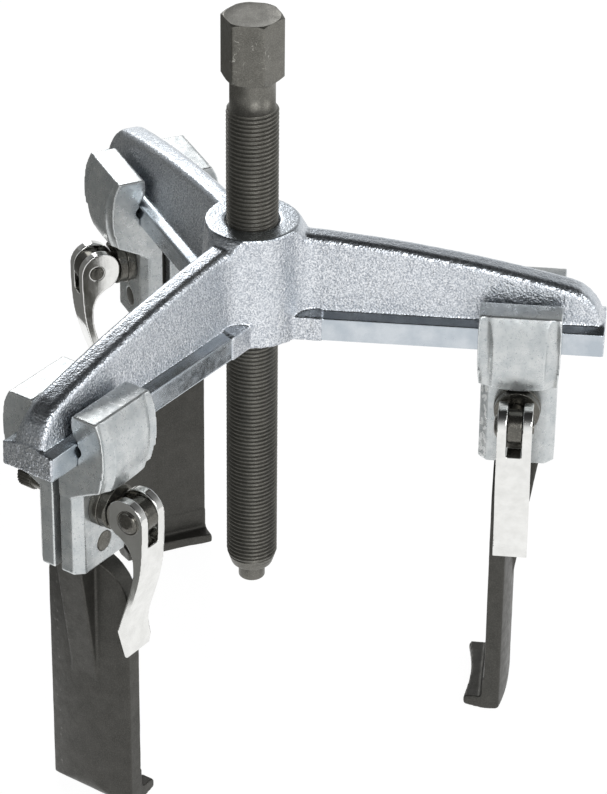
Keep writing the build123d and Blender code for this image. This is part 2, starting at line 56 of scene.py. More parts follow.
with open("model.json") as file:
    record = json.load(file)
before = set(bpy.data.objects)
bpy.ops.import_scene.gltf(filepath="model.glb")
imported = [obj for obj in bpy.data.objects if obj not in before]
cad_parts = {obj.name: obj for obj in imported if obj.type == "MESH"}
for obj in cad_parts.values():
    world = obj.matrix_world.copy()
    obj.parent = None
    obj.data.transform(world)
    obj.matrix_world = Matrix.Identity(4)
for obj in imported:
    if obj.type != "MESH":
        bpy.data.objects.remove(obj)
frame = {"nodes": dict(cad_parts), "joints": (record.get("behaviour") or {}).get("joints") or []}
nodes = frame["nodes"]
cad_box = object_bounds()


# ---------------------------------------------------------------- frames of the jaws
def swing_joint(number):
    """The record's joint that swings one jaw's lever."""
    return next(j for j in frame["joints"] if j["name"] == f"lever{number}_swing")


def clamp_matrix(number):
    """Clamp frame of a jaw: x along the lever's pin, y towards the lever, z up from the rail's underside."""
    joint = swing_joint(number)
    x = Vector(joint["axis"])
    z = Vector((0, 0, 1))
    y = z.cross(x)
    origin = Vector(joint["pos_m"]) - y * PIN_Y * MM - z * BOLT_Z * MM
    turned = Matrix((x, y, z)).transposed().to_4x4()
    return Matrix.Translation(origin) @ turned


CLAMP = {n: clamp_matrix(n) for n in JAWS}


# ---------------------------------------------------------------- mesh helpers
LATHE_SEGMENTS = 72
CORNER_STEPS = 3          # lines that make up one eased corner of a profile


def add_piece(name, mesh, body, replaced, slot):
    """Links a mesh as a piece that rides on a body, stands for a CAD node and has one finish."""
    mesh.name = name
    mesh.polygons.foreach_set("use_smooth", [True] * len(mesh.polygons))
    mesh.materials.clear()
    mesh.materials.append(FINISH[slot])
    piece = bpy.data.objects.new(name, mesh)
    bpy.context.scene.collection.objects.link(piece)
    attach(piece, body)
    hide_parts(replaced)


def grid_mesh(rings, close_ends=True):
    """A tube of quads through equal rings of points, with its ends closed by fans."""
    count = len(rings[0])
    points = [p for ring in rings for p in ring]
    faces = []
    for k in range(len(rings) - 1):
        low = k * count
        high = low + count
        for i in range(count):
            j = (i + 1) % count
            faces.append((low + i, low + j, high + j, high + i))
    if close_ends:
        for start, flip in ((0, True), ((len(rings) - 1) * count, False)):
            ring = points[start:start + count]
            centre = len(points)
            points.append(tuple(sum(c) / count for c in zip(*ring)))
            for i in range(count):
                j = (i + 1) % count
                faces.append((start + j, start + i, centre) if flip else (start + i, start + j, centre))
    mesh = bpy.data.meshes.new("grid")
    mesh.from_pydata(points, [], faces)
    return mesh


def rounded(profile, radius):
    """A profile of (r, z) corners with each inner corner turned into a short curve."""
    result = [profile[0]]
    for before, corner, after in zip(profile, profile[1:], profile[2:]):
        a = Vector(before) - Vector(corner)
        b = Vector(after) - Vector(corner)
        cut = min(radius, a.length * 0.45, b.length * 0.45)
        start = Vector(corner) + a.normalized() * cut
        end = Vector(corner) + b.normalized() * cut
        for k in range(CORNER_STEPS + 1):
            t = k / CORNER_STEPS
            point = start * (1 - t) ** 2 + Vector(corner) * 2 * t * (1 - t) + end * t ** 2
            result.append((point.x, point.y))
    result.append(profile[-1])
    return result


def lathe(profile):
    """Rings of a solid turned about z, from a profile of (radius, height)."""
    angles = [2 * math.pi * i / LATHE_SEGMENTS for i in range(LATHE_SEGMENTS)]
    return [[(r * math.cos(a), r * math.sin(a), z) for a in angles] for r, z in profile]


def lathe_mesh(profile, radius):
    """A turned solid with eased corners. The profile runs from the axis to the axis, anticlockwise."""
    return grid_mesh(lathe([(max(r, 0.02), z) for r, z in rounded(profile, radius)]))


def tube_mesh(profile, radius):
    """A turned ring with eased corners. The profile is a closed loop around the ring's section."""
    looped = [profile[-1], *profile, profile[0]]
    rings = lathe(rounded(looped, radius)[1:-1])
    rings.append(rings[0])
    return merged(grid_mesh(rings, close_ends=False))


def merged(mesh, distance=1e-5):
    """The mesh with doubled points joined and its faces turned outwards."""
    work = bmesh.new()
    work.from_mesh(mesh)
    bmesh.ops.remove_doubles(work, verts=work.verts, dist=distance)
    bmesh.ops.dissolve_degenerate(work, edges=work.edges, dist=distance)
    bmesh.ops.recalc_face_normals(work, faces=work.faces)
    work.to_mesh(mesh)
    work.free()
    return mesh


def placed(mesh, matrix):
    """A copy of a mesh made in millimetres, moved by the matrix and scaled to metres."""
    copy = mesh.copy()
    copy.transform(matrix @ Matrix.Scale(MM, 4))
    return copy


def in_metres(frame_matrix, move_mm):
    """A frame followed by a move that is in millimetres, as one matrix for a mesh in metres."""
    return frame_matrix @ Matrix.Scale(MM, 4) @ move_mm @ Matrix.Scale(1 / MM, 4)


def along_y(z):
    """Turns a lathe's axis onto the clamp frame's y axis, at a height."""
    return Matrix.Translation((0, 0, z)) @ Matrix.Rotation(math.radians(-90), 4, "X")


def along_x():
    """Turns a lathe's axis onto the lever pin's axis."""
    return Matrix.Translation((0, PIN_Y, BOLT_Z)) @ Matrix.Rotation(math.radians(90), 4, "Y")


def remeshed(node, matrix, voxel, smoothing):
    """A fine even mesh of a CAD node in the frame of the matrix, in mm, with its edges eased."""
    mesh = nodes[node].data.copy()
    mesh.transform(Matrix.Scale(1 / MM, 4) @ matrix.inverted())
    work = bpy.data.objects.new("work", mesh)
    bpy.context.scene.collection.objects.link(work)
    remesh = work.modifiers.new("even", "REMESH")
    remesh.mode = "VOXEL"
    remesh.voxel_size = voxel
    ease = work.modifiers.new("ease", "SMOOTH")
    ease.factor = 0.5
    ease.iterations = smoothing
    graph = bpy.context.evaluated_depsgraph_get()
    result = bpy.data.meshes.new_from_object(work.evaluated_get(graph))
    bpy.data.objects.remove(work)
    bpy.data.meshes.remove(mesh)
    return result


def points_of(mesh):
    """The mesh's points as an array."""
    flat = np.zeros(len(mesh.vertices) * 3)
    mesh.vertices.foreach_get("co", flat)
    return flat.reshape(-1, 3)


def normals_of(mesh):
    """The mesh's point normals as an array."""
    flat = np.zeros(len(mesh.vertices) * 3)
    mesh.vertices.foreach_get("normal", flat)
    return flat.reshape(-1, 3)


def set_points(mesh, points):
    """Writes an array of points back to the mesh."""
    mesh.vertices.foreach_set("co", points.ravel())
    mesh.update()


def fractal(points, scale, octaves, seed):
    """Smooth noise in -1..1 at each point; scale is the size of its largest lumps in mm."""
    offset = Vector((seed * 17.3, seed * 7.1, seed * 3.7))
    return np.array([noise.fractal(Vector(p) / scale + offset, 1.0, 2.0, octaves) for p in points])


def cells(points, scale, seed):
    """Distance to the nearest feature point of a cell pattern, 0 in a cell's middle to about 1."""
    offset = Vector((seed * 5.3, seed * 11.9, seed * 2.3))
    return np.array([noise.voronoi(Vector(p) / scale + offset)[0][0] for p in points])


# ---------------------------------------------------------------- materials
class Nodes:
    """Short calls that add shader nodes to one material."""

    def __init__(self, name):
        self.material = bpy.data.materials.new(name + "_finish")
        self.material.use_nodes = True
        self.tree = self.material.node_tree
        self.shader = self.tree.nodes["Principled BSDF"]
        self.place = self.add("ShaderNodeTexCoord").outputs["Object"]

    def add(self, kind, **values):
        node = self.tree.nodes.new(kind)
        for key, value in values.items():
            setattr(node, key, value)
        return node

    def link(self, source, target):
        self.tree.links.new(source, target)

    def scaled(self, x, y, z):
        """Object coordinates stretched per axis."""
        mapping = self.add("ShaderNodeMapping")
        mapping.inputs["Scale"].default_value = (x, y, z)
        self.link(self.place, mapping.inputs["Vector"])
        return mapping.outputs["Vector"]

    def noise(self, size_mm, detail=3.0, roughness=0.55, vector=None):
        """Noise whose largest lumps are about size_mm across."""
        node = self.add("ShaderNodeTexNoise")
        node.inputs["Scale"].default_value = 1 / (size_mm * MM)
        node.inputs["Detail"].default_value = detail
        node.inputs["Roughness"].default_value = roughness
        self.link(vector or self.place, node.inputs["Vector"])
        return node.outputs["Fac"]

    def pits(self, size_mm):
        """Cell pattern with cells about size_mm across."""
        node = self.add("ShaderNodeTexVoronoi", feature="F1")
        node.inputs["Scale"].default_value = 1 / (size_mm * MM)
        self.link(self.place, node.inputs["Vector"])
        return node.outputs["Distance"]

    def span(self, source, low, high, to_low, to_high):
        """Maps low..high to to_low..to_high, clamped."""
        node = self.add("ShaderNodeMapRange")
        for key, value in (("From Min", low), ("From Max", high), ("To Min", to_low), ("To Max", to_high)):
            node.inputs[key].default_value = value
        self.link(source, node.inputs["Value"])
        return node.outputs["Result"]

    def math(self, operation, a, b):
        """A sum, product or the like of two numbers or sockets."""
        node = self.add("ShaderNodeMath", operation=operation)
        for value, socket in ((a, node.inputs[0]), (b, node.inputs[1])):
            if isinstance(value, (int, float)):
                socket.default_value = value
            else:
                self.link(value, socket)
        return node.outputs[0]

    def mix(self, factor, a, b):
        """Colour mix; a and b are colours or sockets."""
        node = self.add("ShaderNodeMix", data_type="RGBA")
        self.link(factor, node.inputs[0])
        for value, socket in ((a, node.inputs[6]), (b, node.inputs[7])):
            if isinstance(value, tuple):
                socket.default_value = (*value, 1)
            else:
                self.link(value, socket)
        return node.outputs[2]

    def mix_value(self, factor, a, b):
        """Number mix; a and b are numbers or sockets."""
        node = self.add("ShaderNodeMix", data_type="FLOAT")
        self.link(factor, node.inputs[0])
        for value, socket in ((a, node.inputs[2]), (b, node.inputs[3])):
            if isinstance(value, (int, float)):
                socket.default_value = value
            else:
                self.link(value, socket)
        return node.outputs[0]

    def near(self, point, inner_mm, outer_mm):
        """1 within inner_mm of a point, fading to 0 at outer_mm."""
        node = self.add("ShaderNodeVectorMath", operation="DISTANCE")
        self.link(self.place, node.inputs[0])
        node.inputs[1].default_value = point
        return self.span(node.outputs["Value"], inner_mm * MM, outer_mm * MM, 1, 0)

    def attribute(self, name):
        """A named value that the mesh stores at its points."""
        return self.add("ShaderNodeAttribute", attribute_name=name).outputs["Fac"]

    def edges(self, low, high):
        """1 on convex edges, 0 elsewhere, fading between low and high pointiness."""
        return self.span(self.add("ShaderNodeNewGeometry").outputs["Pointiness"], low, high, 0, 1)

    def bump(self, height, distance_mm, strength, under=None):
        """A relief distance_mm deep, laid over the relief under it if there is one."""
        node = self.add("ShaderNodeBump")
        node.inputs["Strength"].default_value = strength
        node.inputs["Distance"].default_value = distance_mm * MM
        self.link(height, node.inputs["Height"])
        if under:
            self.link(under, node.inputs["Normal"])
        return node.outputs["Normal"]

    def finish(self, colour, rough, normal, metallic):
        """Joins the results to the shader and gives the finished material."""
        self.link(colour, self.shader.inputs["Base Color"])
        self.link(rough, self.shader.inputs["Roughness"])
        self.link(normal, self.shader.inputs["Normal"])
        self.shader.inputs["Metallic"].default_value = metallic
        return self.material


def zinc_forging():
    """Bright zinc over a shot-blasted forged skin; smooth bluish zinc on the machined rails."""
    n = Nodes("zinc_forging")
    machined = n.attribute("machined")
    tint = n.mix(n.span(n.noise(14, 3), 0.35, 0.65, 0, 1), (0.60, 0.64, 0.69), (0.72, 0.75, 0.79))
    speck = n.span(n.noise(0.7, 3, 0.8), 0.42, 0.58, 0, 1)
    skin = n.mix(speck, (0.33, 0.36, 0.41), (0.93, 0.95, 0.98))
    cast = n.mix(n.span(n.noise(5, 2), 0.3, 0.7, 0.60, 1.0), tint, skin)
    smooth = n.mix(n.span(n.noise(9, 3), 0.35, 0.65, 0, 1), (0.47, 0.52, 0.57), (0.60, 0.64, 0.68))
    colour = n.mix(machined, cast, smooth)
    rough_cast = n.span(n.noise(1.2, 3), 0.3, 0.7, 0.26, 0.46)
    rough_smooth = n.span(n.noise(3, 3), 0.3, 0.7, 0.16, 0.28)
    rough = n.mix_value(machined, rough_cast, rough_smooth)
    blasted = n.math("ADD", n.noise(1.1, 2), n.math("MULTIPLY", n.pits(0.9), 0.8))
    ground = n.math("MULTIPLY", n.noise(0.5, 2), 0.06)
    height = n.mix_value(machined, blasted, ground)
    normal = n.bump(height, 0.24, 1.0)
    return n.finish(colour, rough, normal, 1.0)


def zinc_clamp():
    """Satin zinc plate with faint clouding, small pits and a painted highlight that turns its convex edges
    near-white.
    """
    n = Nodes("zinc_clamp")
    cloud = n.span(n.noise(6, 4), 0.35, 0.65, 0, 1)
    base = n.mix(cloud, (0.50, 0.53, 0.54), (0.64, 0.66, 0.66))
    # painted highlight: the convex edges are mixed towards near-white
    edge_highlight = n.mix(n.edges(0.52, 0.58), base, (0.93, 0.95, 0.95))
    spots = n.span(n.noise(0.9, 3, 0.7), 0.30, 0.42, 1, 0)
    colour = n.mix(spots, edge_highlight, (0.30, 0.34, 0.36))
    rough = n.span(n.noise(2.5, 4), 0.3, 0.7, 0.24, 0.36)
    fine = n.bump(n.noise(0.5, 2), 0.015, 0.5)
    normal = n.bump(n.noise(4.0, 2), 0.05, 0.4, fine)
    return n.finish(colour, rough, normal, 0.8)


def dark_phosphate(name, dark, pale, rough_low, rough_high, metallic, grain_mm, scuffed=None):
    """Dark phosphate: fine crystals, mottling, rubbed edges, and pale scratches around the scuffed point."""
    n = Nodes(name)
    mottle = n.span(n.noise(7, 4), 0.30, 0.75, 0, 1)
    base = n.mix(mottle, dark, pale)
    crystals = n.mix(n.span(n.noise(grain_mm, 3, 0.7), 0.45, 0.7, 0, 0.55), base,
                     tuple(min(1.0, 1.9 * c) for c in pale))
    rubbed = n.math("MULTIPLY", n.edges(0.53, 0.62), n.span(n.noise(2, 3), 0.42, 0.62, 0, 0.3))
    colour = n.mix(rubbed, crystals, (0.33, 0.32, 0.30))
    if scuffed:
        contour = n.math("ABSOLUTE", n.math("SUBTRACT", n.noise(6, 2, 0.5), 0.5), 0.0)
        broken = n.span(n.noise(2.5, 3), 0.48, 0.56, 0, 0.9)
        scratches = n.math("MULTIPLY", n.span(contour, 0.004, 0.012, 1, 0), broken)
        there = n.math("MULTIPLY", scratches, n.near(scuffed, 7.0, 12.0))
        colour = n.mix(there, colour, (0.50, 0.49, 0.45))
    rough = n.span(n.noise(3, 4), 0.3, 0.7, rough_low, rough_high)
    fine = n.bump(n.noise(grain_mm, 3, 0.7), 0.04, 0.55)
    normal = n.bump(n.noise(3.5, 2), 0.05, 0.3, fine)
    return n.finish(colour, rough, normal, metallic)


def polished(name, colour_low, colour_high, rough_low, rough_high, ripple_mm):
    """Polished metal with a faint orange peel and fine polishing lines."""
    n = Nodes(name)
    colour = n.mix(n.span(n.noise(5, 3), 0.35, 0.65, 0, 1), colour_low, colour_high)
    streak = n.noise(0.5, 3, vector=n.scaled(1, 1, 0.08))
    wear = n.math("ADD", n.noise(4, 4), n.math("MULTIPLY", streak, 0.5))
    rough = n.span(wear, 0.5, 1.0, rough_low, rough_high)
    fine = n.bump(streak, 0.006, 0.4)
    normal = n.bump(n.noise(4.5, 2), ripple_mm, 0.5, fine)
    return n.finish(colour, rough, normal, 1.0)


FRONT_FLAT = (-0.001, -0.013, 0.246)      # in front of the hexagon's flat that faces the camera, in metres
FINISH = {
    "zinc_forging": zinc_forging(),
    "zinc_clamp": zinc_clamp(),
    "phosphated_screw": dark_phosphate("phosphated_screw", (0.122, 0.119, 0.106), (0.165, 0.160, 0.143),
                                       0.32, 0.46, 0.8, 0.5, scuffed=FRONT_FLAT),
    "phosphated_leg": dark_phosphate("phosphated_leg", (0.043, 0.042, 0.037), (0.062, 0.060, 0.054),
                                     0.36, 0.52, 0.6, 0.45),
    "black_fastener": dark_phosphate("black_fastener", (0.09, 0.087, 0.078), (0.14, 0.135, 0.12),
                                     0.16, 0.28, 0.9, 0.6),
    "polished_lever": polished("polished_lever", (0.76, 0.76, 0.74), (0.84, 0.84, 0.82), 0.06, 0.14, 0.006),
    "bearing_steel": polished("bearing_steel", (0.55, 0.55, 0.55), (0.66, 0.66, 0.66), 0.12, 0.25, 0.01),
}


# ---------------------------------------------------------------- yoke
RAIL_HALF = 12.0
RAIL_TOP_HALF = 7.4
RAIL_SHOULDER = 9.8
RAIL_HIGH = 11.4
RAIL_OUTLINE = ((-RAIL_HALF, 0.0), (RAIL_HALF, 0.0), (RAIL_HALF, RAIL_SHOULDER), (RAIL_TOP_HALF, RAIL_HIGH),
                (-RAIL_TOP_HALF, RAIL_HIGH), (-RAIL_HALF, RAIL_SHOULDER))
RAIL_START = 29.0         # distance from the screw where the rails leave the hub
RAIL_EASE = 0.45          # radius of the rails' eased corners
ARM_LENGTH = 141.5
BORE_EDGE = 11.9          # radius where the hub's bore and its chamfer end
HUB_TOP_Z = 46.2          # everything higher and near the axis is the hub's flat top
HUB_TOP_R = 20.5


def arm_coordinates(points):
    """Each point's distance along its nearest arm, its offset across it, and that arm's angle."""
    angle = np.arctan2(points[:, 1], points[:, 0])
    index = np.round(angle / (2 * math.pi / 3))
    turn = index * 2 * math.pi / 3
    radius = points[:, 0] * np.cos(turn) + points[:, 1] * np.sin(turn)
    across = -points[:, 0] * np.sin(turn) + points[:, 1] * np.cos(turn)
    return radius, across, turn


def onto_outline(flat):
    """Moves (across, height) points onto the rail's outline with eased corners."""
    corners = np.array(RAIL_OUTLINE)
    inset = []
    count = len(corners)
    for k in range(count):
        before, corner, after = corners[k - 1], corners[k], corners[(k + 1) % count]
        a = (corner - before) / np.linalg.norm(corner - before)
        b = (after - corner) / np.linalg.norm(after - corner)
        normal_a, normal_b = np.array([a[1], -a[0]]), np.array([b[1], -b[0]])
        bisector = normal_a + normal_b
        inset.append(corner - bisector * RAIL_EASE / (1 + normal_a @ normal_b))
    best = np.full(len(flat), 1e9)
    nearest = np.zeros_like(flat)
    for k in range(count):
        a, b = inset[k], inset[(k + 1) % count]
        along = b - a
        t = np.clip(((flat - a) @ along) / (along @ along), 0, 1)
        foot = a + t[:, None] * along
        distance = np.linalg.norm(flat - foot, axis=1)
        closer = distance < best
        best = np.where(closer, distance, best)
        nearest = np.where(closer[:, None], foot, nearest)
    direction = (flat - nearest) / np.maximum(best, 1e-6)[:, None]
    return nearest + RAIL_EASE * direction


def make_yoke():
    """The forging: an even mesh with true rails, a lumpy blasted skin and a clean bore."""
    lifted = Matrix.Translation((0, 0, RAIL_Z * MM))
    mesh = remeshed("yoke", lifted, 0.62, 2)
    points = points_of(mesh)
    radius, across, turn = arm_coordinates(points)
    height = points[:, 2]
    low = height < RAIL_HIGH + 0.5
    along = (radius > RAIL_START + 0.35) & (radius < ARM_LENGTH - RAIL_EASE)
    rail = low & along & ((np.abs(across) > RAIL_TOP_HALF - 0.05) | (height < 1.0))
    onto = onto_outline(np.stack([across[rail], height[rail]], 1))
    across_new, height_new = across.copy(), height.copy()
    across_new[rail], height_new[rail] = onto[:, 0], onto[:, 1]
    points = np.stack([radius * np.cos(turn) - across_new * np.sin(turn),
                       radius * np.sin(turn) + across_new * np.cos(turn), height_new], 1)
    set_points(mesh, points)
    from_axis = np.hypot(points[:, 0], points[:, 1])
    skin = np.where(rail, 0.0, 1.0)
    skin *= np.clip((from_axis - BORE_EDGE) / 0.8, 0, 1)
    flat_top = (height > HUB_TOP_Z) & (from_axis < HUB_TOP_R)
    crest = np.where(rail, 0.0, np.clip((normals_of(mesh)[:, 2] - 0.25) / 0.45, 0, 1) * 0.6)
    crest = np.where(flat_top, 0.8, crest)
    skin *= 1 - crest
    lumps = fractal(points, 2.6, 3, 1) * 0.11
    waves = fractal(points, 11.0, 2, 2) * 0.16
    dents = (cells(points, 1.7, 3) - 0.45) * 0.10
    rail_end = low & (radius > ARM_LENGTH - 0.5)
    crackle = np.where(rail_end, (cells(points, 1.3, 4) - 0.4) * 0.22, 0.0)
    shift = (lumps + waves + dents) * skin + crackle
    points = points + normals_of(mesh) * shift[:, None]
    set_points(mesh, points)
    layer = mesh.attributes.new("machined", "FLOAT", "POINT")
    layer.data.foreach_set("value", np.where(rail, 1.0, crest).astype(np.float32))
    add_piece("yoke_forging", placed(mesh, lifted), "yoke_body", "yoke", "zinc_forging")


make_yoke()


# ---------------------------------------------------------------- forcing screw
HEX_AF = 22.0             # across the flats
HEX_CORNER_R = HEX_AF / math.sqrt(3)
HEX_LOW = 109.9
HEX_HIGH = 136.0
HEX_TOP_R = 11.45         # radius of the flat circle on top
HEX_TURN = math.radians(-2.6)
HEX_EASE = 0.7            # radius of the long corners
NECK_R = 9.1
SCREW_SEGMENTS = 96
THREAD_ROWS = 9           # rows of points to one pitch
THREAD_FORM = 0.640       # depth of the thread, as a share of its pitch
SCREW_END = -115.8
SCREW_END_R = 8.4
END_RIM = 0.8             # height of the smooth rim between the end face and the thread
END_SLOPE = (THREAD_R - SCREW_END_R) / (THREAD_LOW - SCREW_END)
SEAM = 2e-3               # points this close together are joined


def thread_radius(phase):
    """Whitworth form with rounded crests and roots; phase 0..1 along one pitch."""
    depth = THREAD_FORM * THREAD_PITCH
    return THREAD_R - depth * (0.5 - 0.5 * math.cos(2 * math.pi * phase))


def circle(radius, z):
    """One ring of the screw."""
    step = 2 * math.pi / SCREW_SEGMENTS
    return [(radius * math.cos(i * step), radius * math.sin(i * step), z) for i in range(SCREW_SEGMENTS)]


def hex_ring(z, limit):
    """A ring round the hexagon at a height, with eased corners, kept inside a radius."""
    per_side = SCREW_SEGMENTS // 6
    corner_steps = 5
    inner = (HEX_AF / 2 - HEX_EASE) * 2 / math.sqrt(3)
    outline = []
    for side in range(6):
        corner = side * math.pi / 3
        cx, cy = inner * math.cos(corner), inner * math.sin(corner)
        for k in range(corner_steps):
            a = corner - math.pi / 6 + math.pi / 3 * k / (corner_steps - 1)
            outline.append((cx + HEX_EASE * math.cos(a), cy + HEX_EASE * math.sin(a)))
        start = outline[-1]
        following = corner + math.pi / 3
        a = following - math.pi / 6
        end = (inner * math.cos(following) + HEX_EASE * math.cos(a),
               inner * math.sin(following) + HEX_EASE * math.sin(a))
        flats = per_side - corner_steps
        for k in range(1, flats + 1):
            t = k / (flats + 1)
            outline.append((start[0] + (end[0] - start[0]) * t, start[1] + (end[1] - start[1]) * t))
    ring = []
    for x, y in outline:
        r = math.hypot(x, y)
        scale = min(1.0, limit / r)
        a = math.atan2(y, x) + HEX_TURN
        ring.append((r * scale * math.cos(a), r * scale * math.sin(a), z))
    shift = round(HEX_TURN / (2 * math.pi) * SCREW_SEGMENTS)
    return ring[-shift:] + ring[:-shift]


def thread_mesh():
    """The thread: one strip of a pitch's height that winds up the screw, cut level at both ends."""
    step = 2 * math.pi / SCREW_SEGMENTS
    low, high = SCREW_END + END_RIM, THREAD_HIGH
    turns = (high - low) / THREAD_PITCH + 2
    total = int(turns * SCREW_SEGMENTS)
    points, faces = [], []
    for k in range(total + 1):
        angle = k * step
        base = low - THREAD_PITCH + THREAD_PITCH * k / SCREW_SEGMENTS
        for row in range(THREAD_ROWS + 1):
            z = base + THREAD_PITCH * row / THREAD_ROWS
            radius = thread_radius(row / THREAD_ROWS)
            z = min(max(z, low), high)
            end_cone = SCREW_END_R + (z - SCREW_END) * END_SLOPE
            run_in = NECK_R + (high - z) * 1.3
            radius = min(radius, end_cone, run_in)
            points.append((radius * math.cos(angle), radius * math.sin(angle), z))
    width = THREAD_ROWS + 1
    for k in range(total):
        for row in range(THREAD_ROWS):
            a = k * width + row
            faces.append((a, a + width, a + width + 1, a + 1))
    mesh = bpy.data.meshes.new("thread")
    mesh.from_pydata(points, [], faces)
    return merged(mesh, SEAM)


def head_mesh():
    """Neck and hexagon with its chamfered ends."""
    top_fall = (HEX_CORNER_R - HEX_TOP_R) * math.tan(math.radians(30))
    rings = [circle(NECK_R, THREAD_HIGH), circle(NECK_R, HEX_LOW - 1.2), circle(NECK_R + 0.15, HEX_LOW - 0.5),
             circle(NECK_R + 0.7, HEX_LOW)]
    for k in range(6):
        rings.append(hex_ring(HEX_LOW + 0.05 + 0.9 * k / 5, HEX_AF / 2 - 0.3 + 1.9 * k / 5))
    flat_height = HEX_HIGH - top_fall - HEX_LOW - 1.0
    for k in range(1, 9):
        rings.append(hex_ring(HEX_LOW + 0.95 + flat_height * k / 8, HEX_CORNER_R))
    for k in range(1, 9):
        limit = HEX_CORNER_R - (HEX_CORNER_R - HEX_TOP_R) * k / 8
        rings.append(hex_ring(HEX_HIGH - top_fall * (1 - k / 8), limit))
    rings.append(circle(HEX_TOP_R - 0.5, HEX_HIGH))
    rings.append(circle(HEX_TOP_R - 1.2, HEX_HIGH - 0.12))
    rings.append(circle(HEX_TOP_R * 0.5, HEX_HIGH - 0.12))
    return grid_mesh(rings)


def end_mesh():
    """The screw's lower face below the thread."""
    rings = [circle(4.3, SCREW_END + 0.4), circle(4.5, SCREW_END), circle(SCREW_END_R - 0.5, SCREW_END),
             circle(SCREW_END_R, SCREW_END + 0.3),
             circle(SCREW_END_R + END_RIM * END_SLOPE, SCREW_END + END_RIM)]
    return grid_mesh(rings, close_ends=False)


def joined(meshes):
    """One mesh from several, with touching points joined."""
    points, faces = [], []
    for mesh in meshes:
        start = len(points)
        points += [tuple(v.co) for v in mesh.vertices]
        faces += [tuple(start + i for i in p.vertices) for p in mesh.polygons]
    result = bpy.data.meshes.new("joined")
    result.from_pydata(points, [], faces)
    return merged(result, SEAM)


LIFT = Matrix.Translation((0, 0, RAIL_Z * MM))
screw = joined([end_mesh(), thread_mesh(), head_mesh()])
add_piece("forcing_screw", placed(screw, LIFT), "screw", "spindle", "phosphated_screw")

TIP_PROFILE = ((0, -123), (4.9, -123), (5.5, -122.4), (5.5, -116.0), (4, -116.0), (4, -112.1),
               (3.4, -112.1), (3.4, -110.9), (4, -110.9), (4, -107), (0, -107))
tip = lathe_mesh(TIP_PROFILE, 0.25)
add_piece("pressure_tip", placed(tip, LIFT), "tip", "thrust_tip", "phosphated_screw")


# ---------------------------------------------------------------- jaws
def make_leg_mesh():
    """One leg: an even mesh with eased edges and a faint drop-forged waviness."""
    mesh = remeshed("jaw2_leg", CLAMP[2], 0.5, 2)
    points = points_of(mesh)
    shift = fractal(points, 9.0, 2, 5) * 0.07 + fractal(points, 1.6, 2, 6) * 0.02
    set_points(mesh, points + normals_of(mesh) * shift[:, None])
    return mesh


def make_half_mesh(node):
    """One clamp half: an even mesh with soft cast edges."""
    mesh = remeshed(node, CLAMP[2], 0.45, 3)
    points = points_of(mesh)
    shift = fractal(points, 6.0, 2, 7) * 0.05
    set_points(mesh, points + normals_of(mesh) * shift[:, None])
    return mesh


leg_mesh = make_leg_mesh()
near_mesh = make_half_mesh("jaw2_clamp_near")
far_mesh = make_half_mesh("jaw2_clamp_far")
lever_mesh = remeshed("jaw2_cam_lever", CLAMP[2], 0.3, 4)
bolt_mesh = remeshed("jaw2_clamp_bolt", CLAMP[2], 0.3, 2)
seat_mesh = remeshed("jaw2_cam_seat", CLAMP[2], 0.22, 2)

WASHER_R = 9.5
WASHER_Y = 14.6
DOWEL_R = 4.3
PIN_R = 3.0
PIN_HEAD_X = 6.95         # where the pin's head starts, at the lever's outer side
NUT_FLUTES = 28
NUT_FLUTE_DEPTH = 0.45
NUT_KNOB_R = 6.5
NUT_KNOB_Y = (20.8, 27.0)
NUT_WAIST_R = 5.6
NUT_COLLAR_R = 8.0
NUT_COLLAR_Y = 14.5

washer_mesh = tube_mesh([(BOLT_HOLE_R, PLATE_Y), (WASHER_R, PLATE_Y), (WASHER_R, WASHER_Y),
                         (BOLT_HOLE_R, WASHER_Y)], 0.5)
dowel_mesh = lathe_mesh([(0, -PLATE_Y), (DOWEL_R, -PLATE_Y), (DOWEL_R, PLATE_Y), (0, PLATE_Y)], 0.5)
pin_mesh = lathe_mesh([(0, -7.55), (2.75, -7.55), (2.75, -PIN_HEAD_X), (PIN_R, -PIN_HEAD_X),
                       (PIN_R, PIN_HEAD_X), (5.2, PIN_HEAD_X), (5.1, 7.35), (4.8, 7.45), (4.5, 7.2),
                       (4.1, 7.85), (3.2, 8.3), (1.8, 8.58), (0, 8.65)], 0.15)


def nut_mesh():
    """Collar, waist and a knob with straight flutes."""
    segments = NUT_FLUTES * 4
    knob_start, knob_end = NUT_KNOB_Y
    profile = rounded([(BOLT_HOLE_R, PLATE_Y), (NUT_COLLAR_R, PLATE_Y), (NUT_COLLAR_R, NUT_COLLAR_Y),
                       (NUT_WAIST_R, NUT_COLLAR_Y), (NUT_WAIST_R, knob_start), (NUT_KNOB_R, knob_start),
                       (NUT_KNOB_R, knob_end), (BOLT_HOLE_R, knob_end)], 0.3)
    rings = []
    for r, z in profile:
        ring = []
        on_knob = z > knob_start - 0.05 and r > NUT_KNOB_R - 0.5
        for i in range(segments):
            a = 2 * math.pi * i / segments
            groove = NUT_FLUTE_DEPTH * (0.5 + 0.5 * math.cos(NUT_FLUTES * a)) if on_knob else 0.0
            ring.append(((r - groove) * math.cos(a), (r - groove) * math.sin(a), -z))
        rings.append(ring)
    rings.append(rings[0])
    return merged(grid_mesh(rings, close_ends=False))


knob_mesh = nut_mesh()

